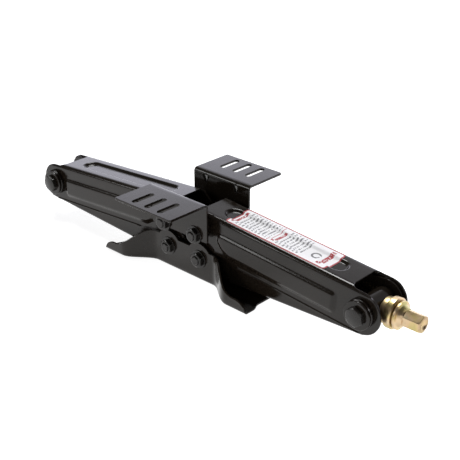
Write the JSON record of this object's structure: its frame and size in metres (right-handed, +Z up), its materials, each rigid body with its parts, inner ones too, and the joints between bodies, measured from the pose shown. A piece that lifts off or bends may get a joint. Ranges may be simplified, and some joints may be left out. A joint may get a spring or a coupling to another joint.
{
  "type": "scissor stabilizer jack",
  "caption": "Folding scissor jack that steadies a parked trailer: nested channel arms on geared pivots between a winged foot and two slotted top angles, lifted by a hex-driven screw.",
  "frame": {"origin": "centre of the foot's bottom face, on the ground", "axes": "+X towards the hex drive, along the screw; +Z up; the two brackets' flanges point along Y"},
  "size_m": [0.689, 0.2194, 0.1249],
  "materials": {
    "black_paint": "gloss",
    "black_steel": "satin",
    "yellow_zinc": "satin",
    "sticker": "satin"
  },
  "bodies": {
    "foot": {"base_foot": "black_paint", "pivot_bolt_bottom_left": "black_steel", "pivot_nut_bottom_left": "black_steel", "pivot_washer_bottom_left_near": "black_steel", "pivot_washer_bottom_left_far": "black_steel", "pivot_spacer_bottom_left_near": "black_steel", "pivot_spacer_bottom_left_far": "black_steel", "pivot_bolt_bottom_right": "black_steel", "pivot_nut_bottom_right": "black_steel", "pivot_washer_bottom_right_near": "black_steel", "pivot_washer_bottom_right_far": "black_steel", "pivot_spacer_bottom_right_near": "black_steel", "pivot_spacer_bottom_right_far": "black_steel"},
    "lower_right": {"lower_arm_right": "black_paint"},
    "lower_left": {"lower_arm_left": "black_paint"},
    "upper_right": {"upper_arm_right": "black_paint", "label_sticker": "sticker"},
    "upper_left": {"upper_arm_left": "black_paint"},
    "top_carrier": {"top_bracket_near": "black_paint", "top_bracket_far": "black_paint", "pivot_bolt_top_left": "black_steel", "pivot_nut_top_left": "black_steel", "pivot_washer_top_left_near": "black_steel", "pivot_washer_top_left_far": "black_steel", "pivot_spacer_top_left_near": "black_steel", "pivot_spacer_top_left_far": "black_steel", "pivot_bolt_top_right": "black_steel", "pivot_nut_top_right": "black_steel", "pivot_washer_top_right_near": "black_steel", "pivot_washer_top_right_far": "black_steel", "pivot_spacer_top_right_near": "black_steel", "pivot_spacer_top_right_far": "black_steel"},
    "right_block": {"trunnion_right": "black_steel", "end_washer_right_near": "black_paint", "end_collar_right_near": "black_paint", "end_washer_right_far": "black_paint", "end_collar_right_far": "black_paint"},
    "left_block": {"trunnion_left": "black_steel", "end_washer_left_near": "black_paint", "end_collar_left_near": "black_paint", "end_washer_left_far": "black_paint", "end_collar_left_far": "black_paint"},
    "drive_line": {"lead_screw": "yellow_zinc", "thrust_washer": "yellow_zinc", "bearing_cup": "yellow_zinc", "hex_drive": "yellow_zinc"}
  },
  "joints": [
    {"name": "lift", "type": "hinge", "parent": "foot", "child": "lower_right", "pos_m": [0.03015, 0, 0.034], "axis": [0, -1, 0], "range_deg": [0, 61]},
    {"name": "lower_left_pivot", "type": "hinge", "parent": "foot", "child": "lower_left", "pos_m": [-0.03015, 0, 0.034], "axis": [0, -1, 0], "range_deg": [-61, 0]},
    {"name": "upper_right_pin", "type": "hinge", "parent": "lower_right", "child": "upper_right", "pos_m": [0.2954, 0, 0.054], "axis": [0, -1, 0], "range_deg": [-122, 0]},
    {"name": "upper_left_pin", "type": "hinge", "parent": "lower_left", "child": "upper_left", "pos_m": [-0.2954, 0, 0.054], "axis": [0, -1, 0], "range_deg": [0, 122]},
    {"name": "top_level", "type": "hinge", "parent": "upper_right", "child": "top_carrier", "pos_m": [0.03015, 0, 0.074], "axis": [0, -1, 0], "range_deg": [0, 61]},
    {"name": "right_block_level", "type": "hinge", "parent": "lower_right", "child": "right_block", "pos_m": [0.2954, 0, 0.054], "axis": [0, -1, 0], "range_deg": [-61, 0]},
    {"name": "left_block_level", "type": "hinge", "parent": "lower_left", "child": "left_block", "pos_m": [-0.2954, 0, 0.054], "axis": [0, -1, 0], "range_deg": [0, 61]},
    {"name": "screw_turn", "type": "hinge", "parent": "right_block", "child": "drive_line", "pos_m": [0.2954, 0, 0.054], "axis": [1, 0, 0], "continuous": true}
  ],
  "couplings": [
    {"joint": "lower_left_pivot", "follows": "lift", "ratio": -1},
    {"joint": "upper_right_pin", "follows": "lift", "ratio": -2},
    {"joint": "upper_left_pin", "follows": "lift", "ratio": 2},
    {"joint": "top_level", "follows": "lift", "ratio": 1},
    {"joint": "right_block_level", "follows": "lift", "ratio": -1},
    {"joint": "left_block_level", "follows": "lift", "ratio": 1}
  ]
}
